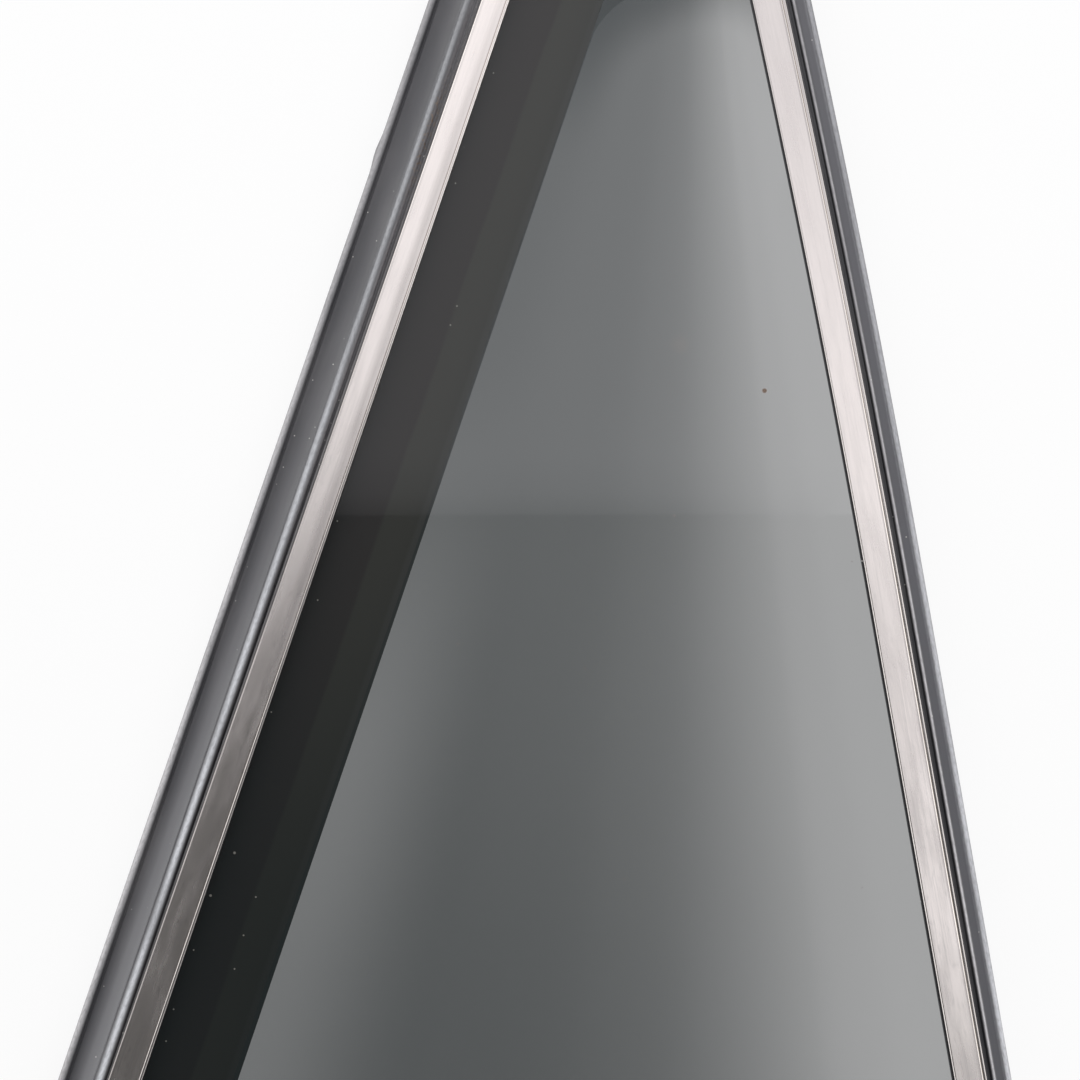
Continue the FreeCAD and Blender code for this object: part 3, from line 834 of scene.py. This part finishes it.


# the pane's opacity: its tint, with painted shade laid over it across the fan and round the nose, and random
# patches
def clearOpacityAndPaintedShade(make, coordinates, x, y):
    t = tintedGlass
    fan = fanShare(make, x, y)
    ramp = make.add("ShaderNodeValToRGB", {"stops": t["fan"]}, {"Fac": fan})
    ramp.socket.node.color_ramp.interpolation = "CARDINAL"
    opacity = make.add("ShaderNodeRGBToBW", None, {0: ramp})
    opacity = opacity + y.ramp(*t["deeper"]) * fan.ramp(*t["deeperAcross"])
    opacity = opacity + fan.ramp(*t["besideAcross"]) * y.ramp(*t["besideBorder"])
    noseX = toFrame.x + clearNose["belt"] + clearNose["radius"]
    noseY = toFrame.y + clearNose["tangentY"]
    offX, offY = x - noseX, (y - noseY).higher(0)
    fromNose = (offX * offX + offY * offY).root() / clearNose["radius"]
    before, after = t["noseReach"]
    shade = y.ramp(noseY + before, noseY + after, 0, t["noseShade"])
    opacity = opacity + fromNose.ramp(*t["noseRing"]) * shade + y.ramp(*t["noseDarker"])
    size, strength = t["patches"]
    return opacity + (noise(make, coordinates, size, 3) - 0.5) * strength


def makeTintedGlass():
    t = tintedGlass
    material, make, coordinates = newMaterial("tintedGlass")
    x, y = axes(make, coordinates)
    edge = clearNose["belt"]
    overBorder = (x - toFrame.x).ramp(edge + t["edge"] / 2, edge - t["edge"] / 2, 1, 0)
    inside = overBorder.lower(insetFromEnd(x, y).ramp(t["clearEnd"] - t["edge"], t["clearEnd"]))
    opacity = t["overBorder"] + inside * (clearOpacityAndPaintedShade(make, coordinates, x, y) - t["overBorder"])
    mark = specks(make, coordinates, *t["specks"]) * t["speckStrength"]
    for place, reach, strength in t["marks"]:
        mark = mark.higher(spot(x, y, place, reach) * strength)
    colour = make.blend(mark, t["colour"], t["markColour"])
    haze = noise(make, coordinates, t["hazeSize"], 4) * t["haze"]
    roughness = haze + t["roughness"] + mark * t["markRoughness"]
    settings = {"IOR": 1.5, "Specular IOR Level": 0.9}
    finish(make, settings, colour, roughness, {"Alpha": opacity.higher(mark)})
    return material


firedEnamel = {
    "overFlange": (0.07, 0.056, 0.052), "paintedLightOverGap": (0.088, 0.08, 0.068), "rim": (0.105, 0.097, 0.088),
    "darker": (-20, -200, 0, 0.55), "flangeBelt": 38.3, "flangeEnd": 18, "edge": 0.8, "wander": (60, 3),
    "rimPlace": 0.6, "rimWidth": 1.6, "dots": [(13, 0.3, 7), (29, 0.5, 11)],
    "speckColour": (0.6, 0.56, 0.5), "roughness": 0.3, "uneven": 0.1,
}


def makeFiredEnamel():
    # painted light: paler where no flange stands behind it, as if a little light came through it
    e = firedEnamel
    material, make, coordinates = newMaterial("firedEnamel")
    x, y = axes(make, coordinates)
    fromBelt = x - toFrame.x
    size, reach = e["wander"]
    wander = (noise(make, coordinates, size, 2) - 0.5) * reach
    past = (fromBelt + wander).ramp(e["flangeBelt"] - e["edge"], e["flangeBelt"] + e["edge"])
    past = past.lower(insetFromEnd(x, y).ramp(e["flangeEnd"] - e["edge"], e["flangeEnd"] + e["edge"]))
    colour = make.blend(past, e["overFlange"], e["paintedLightOverGap"])
    # painted light: a paler strip just short of the clear area's edge, where the glass edge bends light onto
    # it
    clearEdge = clearNose["belt"] + e["rimPlace"]
    rim = fromBelt.ramp(clearEdge - e["rimWidth"] * 2, clearEdge - e["rimWidth"])
    colour = make.blend(rim * past, colour, e["rim"])
    # painted shade: darker towards the wide end, where the pane reflects less light over it
    colour = make.blend(y.ramp(*e["darker"]), colour, (0, 0, 0))
    small, large = [specks(make, coordinates, *dots) for dots in e["dots"]]
    colour = make.blend(small.higher(large), colour, e["speckColour"])
    roughness = noise(make, coordinates, 3) * e["uneven"] + e["roughness"]
    finish(make, {"IOR": 1.5, "Specular IOR Level": 0.1}, colour, roughness, {})
    return material


blackRubber = {
    "colour": (0.05, 0.05, 0.055), "worn": (0.085, 0.083, 0.087), "roughness": 0.3, "uneven": 0.16,
    "grain": 0.35, "grainDepth": 0.06, "nosePlain": (215, 235), "endPlain": (3, 6),
    # the channel's painted light, paler towards the ridge: where it starts and ends, how fast it rises, and
    # how strong it is along the rail
    "channel": (3.0, 10.4, 0.3), "channelTone": (0.19, 0.19, 0.2), "channelStart": 2.6,
    "channelSlow": 0.5, "channelQuick": 0.35,
    "channelAlong": (-230, 60, 1, 0.42), "quickAlong": (-230, 60, 1, 0),
    "shelfStart": (1.6, 2.2), "shelfEnd": (4.9, 4.5), "shelfTone": (0.1, 0.1, 0.11),
    # paler by dust and wear, and by painted highlights on the lips, the ridges and beside the groove: edge,
    # inset, reach, reflectance, and its strength along the rail
    "dustAndHighlights": [
        ("belt", 0.9, 1.7, (0.6, 0.59, 0.6), (-200, 130, 1, 0.55)),
        ("belt", 14.6, 0.5, (0.24, 0.23, 0.23), (-200, 130, 1, 1)),
        ("belt", 13.3, 0.9, (0.26, 0.25, 0.26), (-150, 40, 0, 1)),
        ("ridge", 11.9, 1.5, (0.75, 0.77, 0.8), (-230, 130, 1, 0.34)),
        ("roof", 1.0, 1.7, (0.66, 0.67, 0.7), (-150, 140, 1, 0.5)),
        ("roof", 5.2, 0.75, (0.66, 0.65, 0.66), (-200, 160, 1, 0.5)),
    ],
    "ridgeLean": (-230, 130, -0.3, 0.7), "innerLip": (17.4, 1.6), "dark": (0.006, 0.006, 0.008),
    "debris": (0.2, 0.14, 0.09), "debrisPlace": (-131.5, 62), "debrisReach": (1.7, 26), "debrisSize": 0.9,
    "flecks": (5, 0.22, 2), "fleckPatches": 40, "fleckColour": (0.7, 0.68, 0.64),
}


def makeBlackRubber():
    r = blackRubber
    material, make, coordinates = newMaterial("blackRubber")
    x, y, fromBelt, fromRoof, laid = edgeAxes(make, coordinates)
    plain = y.ramp(*r["nosePlain"], 1, 0) * insetFromEnd(x, y).ramp(*r["endPlain"])
    patchy = noise(make, laid, 5, 4, (1, 8, 1)).ramp(0.2, 0.6, 0.6, 1)
    crumbly = noise(make, laid, 0.6, 2, (1, 3, 1)).ramp(0.3, 0.6, 0.75, 1)
    colour = make.blend(noise(make, laid, 9, 4, (1, 5, 1)).ramp(0.35, 0.75), r["colour"], r["worn"])
    # painted light: the channel grows paler towards the ridge
    low, high, fade = r["channel"]
    quick = fromBelt.ramp(low, low + r["channelStart"]) * r["channelQuick"] * y.ramp(*r["quickAlong"])
    channel = fromBelt.ramp(low, high) * r["channelSlow"] + quick
    channel = channel * fromBelt.ramp(high + fade, high) * y.ramp(*r["channelAlong"])
    colour = make.blend(channel * plain, colour, r["channelTone"])
    shelf = fromRoof.ramp(*r["shelfStart"]) * fromRoof.ramp(*r["shelfEnd"])
    colour = make.blend(shelf * plain, colour, r["shelfTone"])
    insets = {"belt": fromBelt, "ridge": fromBelt + y.ramp(*r["ridgeLean"]), "roof": fromRoof}
    for edge, place, reach, tone, along in r["dustAndHighlights"]:
        # dust and wear, together with painted highlights on the lips, the ridges and beside the groove
        worn = insets[edge].near(place, reach) * patchy * crumbly * y.ramp(*along)
        colour = make.blend(worn * plain, colour, tone)
    # painted shade: the inner lip beside the glass made nearly black
    colour = make.blend(fromRoof.near(*r["innerLip"]).ramp(0, 0.3), colour, r["dark"])
    crumbs = noise(make, coordinates, r["debrisSize"], 3).ramp(0.5, 0.62)
    (placeX, placeY), (reachX, reachY) = r["debrisPlace"], r["debrisReach"]
    colour = make.blend(crumbs * x.near(placeX, reachX) * y.near(placeY, reachY), colour, r["debris"])
    patches = noise(make, coordinates, r["fleckPatches"]).ramp(0.45, 0.6)
    colour = make.blend(specks(make, coordinates, *r["flecks"]) * patches, colour, r["fleckColour"])
    roughness = noise(make, coordinates, 4, 3) * r["uneven"] + r["roughness"]
    bump = bumped(make, r["grain"], r["grainDepth"], noise(make, coordinates, 0.7, 3))
    finish(make, {"Specular IOR Level": 0.6}, colour, roughness, bump)
    return material


brightTrim = {
    "colour": (0.86, 0.805, 0.77), "dullAndShaded": (0.5, 0.47, 0.46), "hemColour": (0.26, 0.215, 0.17),
    "rimShade": (0.13, 0.12, 0.12), "roughness": 0.17, "cloudy": 0.12, "streaky": 0.06,
    "grain": 0.06, "grainDepth": 0.04, "mottleAndShadeAlong": (40, -200, 0.2, 1), "roofShadeToNose": (-10, 130, 0, 0.5),
    "clouds": 0.5, "blots": 0.3, "streaks": 0.4, "roofSide": (30, 20),
    # shaded lines along the strips: their inset, as it leans from one end to the other, and their reach
    "beltOuter": (-260, 260, 14.5, 15.8), "beltOuterReach": (0.2, 0.9), "beltInner": (-260, 260, 24.6, 23.2),
    "beltInnerReach": (-0.5, 1.1), "beltShade": (-90, 90, 0.9, 0.3),
    "dip": (21.4, 2.6), "dipNose": (130, 60, 0.1, 0.28), "dipEnd": (-160, -90, 0.3, 1),
    "roofLines": [(7.5, 1.1, 0.5), (9.1, 0.55, 0.4), (17.4, 0.8, 0.5)], "roofShade": (-130, -200, 0.06, 0.3),
    "hemLine": (8.6, 0.25, 0.8),
}


def makeBrightTrim():
    # satin metal with a cloudy film and fine streaks along it, with painted shade on its rims and edges
    b = brightTrim
    material, make, coordinates = newMaterial("brightTrim")
    y, fromBelt, fromRoof, laid = edgeAxes(make, coordinates)[1:]
    clouds = noise(make, laid, 4, 5, (1, 6, 1)).ramp(0.35, 0.8)
    blots = noise(make, laid, 1.4, 3, (1, 2.5, 1)).ramp(0.55, 0.75)
    streaks = noise(make, laid, 0.45, 3, (1, 80, 1))
    share = clouds * b["clouds"] + blots * b["blots"] + streaks.ramp(0.45, 0.8) * b["streaks"]
    onRoof = fromRoof.ramp(*b["roofSide"])
    # the mottled film, stronger towards the wide end, with painted shade there and on the roof strip towards
    # the nose
    mottleAndShade = (share * y.ramp(*b["mottleAndShadeAlong"]) + onRoof * y.ramp(*b["roofShadeToNose"])).lower(1)
    colour = make.blend(mottleAndShade, b["colour"], b["dullAndShaded"])
    outer = (fromBelt - y.ramp(*b["beltOuter"])).near(*b["beltOuterReach"])
    inner = (fromBelt - y.ramp(*b["beltInner"])).near(*b["beltInnerReach"])
    dip = fromBelt.near(*b["dip"]) * y.ramp(*b["dipNose"]) * y.ramp(*b["dipEnd"])
    lines = [fromRoof.near(place, reach) * strength for place, reach, strength in b["roofLines"]]
    for shade in (
        outer.higher(inner) * y.ramp(*b["beltShade"]),
        dip,
        lines[0].higher(lines[1]).higher(lines[2]),
        onRoof * y.ramp(*b["roofShade"]),
    ):
        colour = make.blend(shade, colour, b["rimShade"])
    place, reach, strength = b["hemLine"]
    colour = make.blend(fromRoof.near(place, reach) * strength, colour, b["hemColour"])
    roughness = clouds * b["cloudy"] + streaks * b["streaky"] + b["roughness"]
    bump = bumped(make, b["grain"], b["grainDepth"], streaks)
    finish(make, {"Metallic": 1}, colour, roughness, bump)
    return material


glassMaterial = makeTintedGlass()
enamelMaterial = makeFiredEnamel()
rubberMaterial = makeBlackRubber()
trimMaterial = makeBrightTrim()
print("finishes made")

tree = sweepTree()
silhouette = outline(-form["edgeSpare"], form["endSkim"], form["noseRound"], form["cornerRound"])
overall = prism("overall", silhouette)
inside = insideOfEnd("insideOfEnd", 3)
trimGap = 0.3
beltSide, roofSide = mitre("beltSide", 1, 0), mitre("roofSide", -1, 0)
beltStripSide, roofStripSide = mitre("beltStripSide", 1, trimGap), mitre("roofStripSide", -1, trimGap)


def rail(name, path, loop, sizes, keep, cut, spacing, material, drift=None):
    inputs = {
        "Section": section(name + "Section", loop, sizes["band"], drift), "Keep Inside": keep,
        "Cut Away": cut, "Spacing": spacing * mm, "Finish": material,
    }
    return swept(name, tree, path, inputs)


rubber, trim = rubberMaterial, trimMaterial
beltRail = rail("beltRail", beltPath(), beltRailLoop(), belt, overall, beltSide, 2.5, rubber, beltDrift)
roofRail = rail("roofRail", roofPath(), roofRailLoop(), roof, overall, roofSide, 6, rubber)
endRail = rail("endRail", endPath(), endRailLoop(), end, overall, beltStripSide, 8, rubber)
beltStrip = rail("beltStrip", beltPath(), beltTrimLoop(), belt, inside, beltStripSide, 5, trim, beltDrift)
roofStrip = rail("roofStrip", roofPath(), roofTrimLoop(), roof, inside, roofStripSide, 5, trim)

# the outer lip swells at one place, and the belt ridge leans inwards towards the wide end
lipSwelling = {"y": 52, "reach": 7, "rise": 0.55, "width": 2.6}
ridgeDrift = {"from": 130, "to": -230, "shift": 1.9, "start": 8, "peak": 11, "fall": 12.6, "stop": 14.2}


def lipRise(inset, y):
    s = lipSwelling
    near = 1 - abs(y - s["y"]) / s["reach"]
    if near <= 0 or inset >= s["width"]:
        return 0
    return s["rise"] * near * near * (3 - 2 * near) * (1 - inset / s["width"])


def ridgeShift(inset, y):
    d = ridgeDrift
    share = max(0, min(1, (y - d["from"]) / (d["to"] - d["from"])))
    rise = (inset - d["start"]) / (d["peak"] - d["start"])
    fall = (d["stop"] - inset) / (d["stop"] - d["fall"])
    return d["shift"] * share * max(0, min(1, rise, fall))


for vertex in beltRail.vertices:
    inset, y = vertex.co.x / mm - toFrame.x, vertex.co.y / mm
    vertex.co.x += (ridgeShift(inset, y) - lipRise(inset, y)) * mm

depth, enamelDepth = form["thickness"], form["enamelDepth"]
borderFaces = [(depth, depth - form["seat"]), (enamelDepth, enamelDepth)]
moulding = finishedPiece("mouldingSkin", [beltRail, roofRail, endRail, noseBlock()], rubber)
beltStripPiece = finishedPiece("beltStrip", [beltStrip], trim)
roofStripPiece = finishedPiece("roofStrip", [roofStrip], trim)
pane = bentCopy("window_pane", "bentPane", glassMaterial, [(0, 0), (depth, depth)])
border = bentCopy("fired_border", "enamelBorder", enamelMaterial, borderFaces, clearNoseOpening())
for piece, node, slotName in (
    (moulding, "edge_moulding", "black_rubber"),
    (beltStripPiece, "belt_trim", "bright_trim"),
    (roofStripPiece, "roof_trim", "bright_trim"),
    (pane, "window_pane", "tinted_glass"),
    (border, "fired_border", "fired_enamel"),
):
    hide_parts(node)
    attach(piece, "root")
    print(piece.name, "stands for", node)
kept = {moulding, beltStripPiece, roofStripPiece, pane, border}
for thing in list(scene.objects):
    if thing.type == "MESH" and thing not in kept and thing.name not in frame["nodes"]:
        bpy.data.objects.remove(thing)

studio = {
    "photoTurn": 18.95, "photoCenter": (-59.54, -43.04), "photoWidth": 326.4, "above": 8000,
    "floor": 12, "floorColour": (0.82, 0.82, 0.82), "floorShows": 0.9,
    "ceiling": 0.1, "ceilingShift": -0.15, "ceilingEdge": (0.36, 0.58), "walls": 0.85,
    "sides": 1.2, "sideEdge": (0.7, 0.9),
    # the panel's lower edge, from the left: across, up, and where on its glow it starts
    "boxEdge": [
        (-900, 40, 0), (-190, 0, 0), (-150, 35, 0), (100, 4.7, 0), (225, -10, 0.15),
        (262, -160, 0.25), (700, -160, 0.25),
    ],
    "boxHeight": 500, "boxDepth": 900, "boxColour": (0.985, 0.975, 1.005),
    "boxGlow": [(0, 0.35), (0.008, 0.72), (0.022, 0.95), (0.2, 1.15), (0.6, 1.3)],
    "sensor": 36,
}
photoRight = atAngle(studio["photoTurn"])
photoUp = atAngle(studio["photoTurn"] + 90)
photoCenter = Vector((*studio["photoCenter"], 0))


def seen(make):
    # 1 for the camera and for what glass and metal show
    light = make.add("ShaderNodeLightPath")
    rays = [light.output(name) for name in ("Is Camera Ray", "Is Glossy Ray", "Is Transmission Ray")]
    return rays[0].higher(rays[1]).higher(rays[2])


def makeFloor():
    s = studio
    material, make = newMaterial("paleFloor")[:2]
    plain = make.add("ShaderNodeBsdfDiffuse", None, {"Color": (*s["floorColour"], 1)})
    white = make.add("ShaderNodeEmission", None, {"Strength": 1})
    both = make.add("ShaderNodeMixShader", None, {0: seen(make) * s["floorShows"], 1: plain, 2: white})
    make.add("ShaderNodeOutputMaterial", None, {"Surface": both})
    half = s["floor"] / 2
    mesh = bpy.data.meshes.new("floor")
    corners = [(-half, -half, 0), (half, -half, 0), (half, half, 0), (-half, half, 0)]
    mesh.from_pydata(corners, [], [(0, 1, 2, 3)])
    mesh.materials.append(material)
    linked("floor", mesh)


def makeSoftbox():
    # a soft panel over the nose's side, which the glass and the trims mirror down to its edge
    s = studio
    material, make = newMaterial("softbox")[:2]
    across = make.add("ShaderNodeSeparateXYZ", None, {0: make.add("ShaderNodeUVMap")})
    glow = make.add("ShaderNodeValToRGB", {"stops": s["boxGlow"]}, {"Fac": across.output("Y")})
    tinted = make.add("ShaderNodeVectorMath", {"operation": "MULTIPLY"}, {0: glow, 1: s["boxColour"]})
    light = make.add("ShaderNodeEmission", None, {"Color": tinted, "Strength": 1})
    make.add("ShaderNodeOutputMaterial", None, {"Surface": light})
    over = photoCenter + Vector((0, 0, s["boxHeight"]))
    near = [over + photoRight * x + photoUp * y for x, y, start in s["boxEdge"]]
    glowPlaces = [start for x, y, start in s["boxEdge"]] + [1] * len(near)
    far = [corner + photoUp * s["boxDepth"] for corner in near]
    count = len(near)
    mesh = bpy.data.meshes.new("softbox")
    strips = [(k, k + count, k + count + 1, k + 1) for k in range(count - 1)]
    mesh.from_pydata([corner * mm for corner in near + far], [], strips)
    layer = mesh.uv_layers.new(name="across")
    for loop in mesh.loops:
        layer.data[loop.index].uv = (0, glowPlaces[loop.vertex_index])
    mesh.materials.append(material)
    panel = linked("softbox", mesh)
    panel.visible_camera = False


def makeWorld():
    # white round the object, with a dark ceiling for what looks up and brighter walls at both sides
    s = studio
    world = bpy.data.worlds.new("studio")
    world.use_nodes = True
    world.node_tree.nodes.clear()
    make = Maker(world.node_tree)
    direction = make.add("ShaderNodeTexCoord", output="Generated")
    right, up = [
        make.add("ShaderNodeVectorMath", {"operation": "DOT_PRODUCT"}, {0: direction, 1: axis}, "Value")
        for axis in (photoRight, photoUp)
    ]
    off = right - s["ceilingShift"]
    level = (off * off + up * up).root().ramp(*s["ceilingEdge"], s["ceiling"], s["walls"])
    level = level + right.size().ramp(*s["sideEdge"], 0, s["sides"])
    byCamera = make.add("ShaderNodeLightPath").output("Is Camera Ray")
    strength = level + byCamera * (1 - level)
    sky = make.add("ShaderNodeBackground", None, {"Color": (1, 1, 1, 1), "Strength": strength})
    make.add("ShaderNodeOutputWorld", None, {"Surface": sky})
    scene.world = world


def makeCamera():
    s = studio
    data = bpy.data.cameras.new("camera")
    data.sensor_width = s["sensor"]
    height = s["above"] - crownHeight
    data.lens = s["sensor"] * height / s["photoWidth"]
    camera = linked("camera", data)
    camera.location = (photoCenter + Vector((0, 0, s["above"]))) * mm
    camera.rotation_euler = (0, 0, math.radians(s["photoTurn"]))
    scene.camera = camera


makeFloor()
makeSoftbox()
makeWorld()
makeCamera()
scene.view_settings.view_transform = "Standard"
print("studio made")
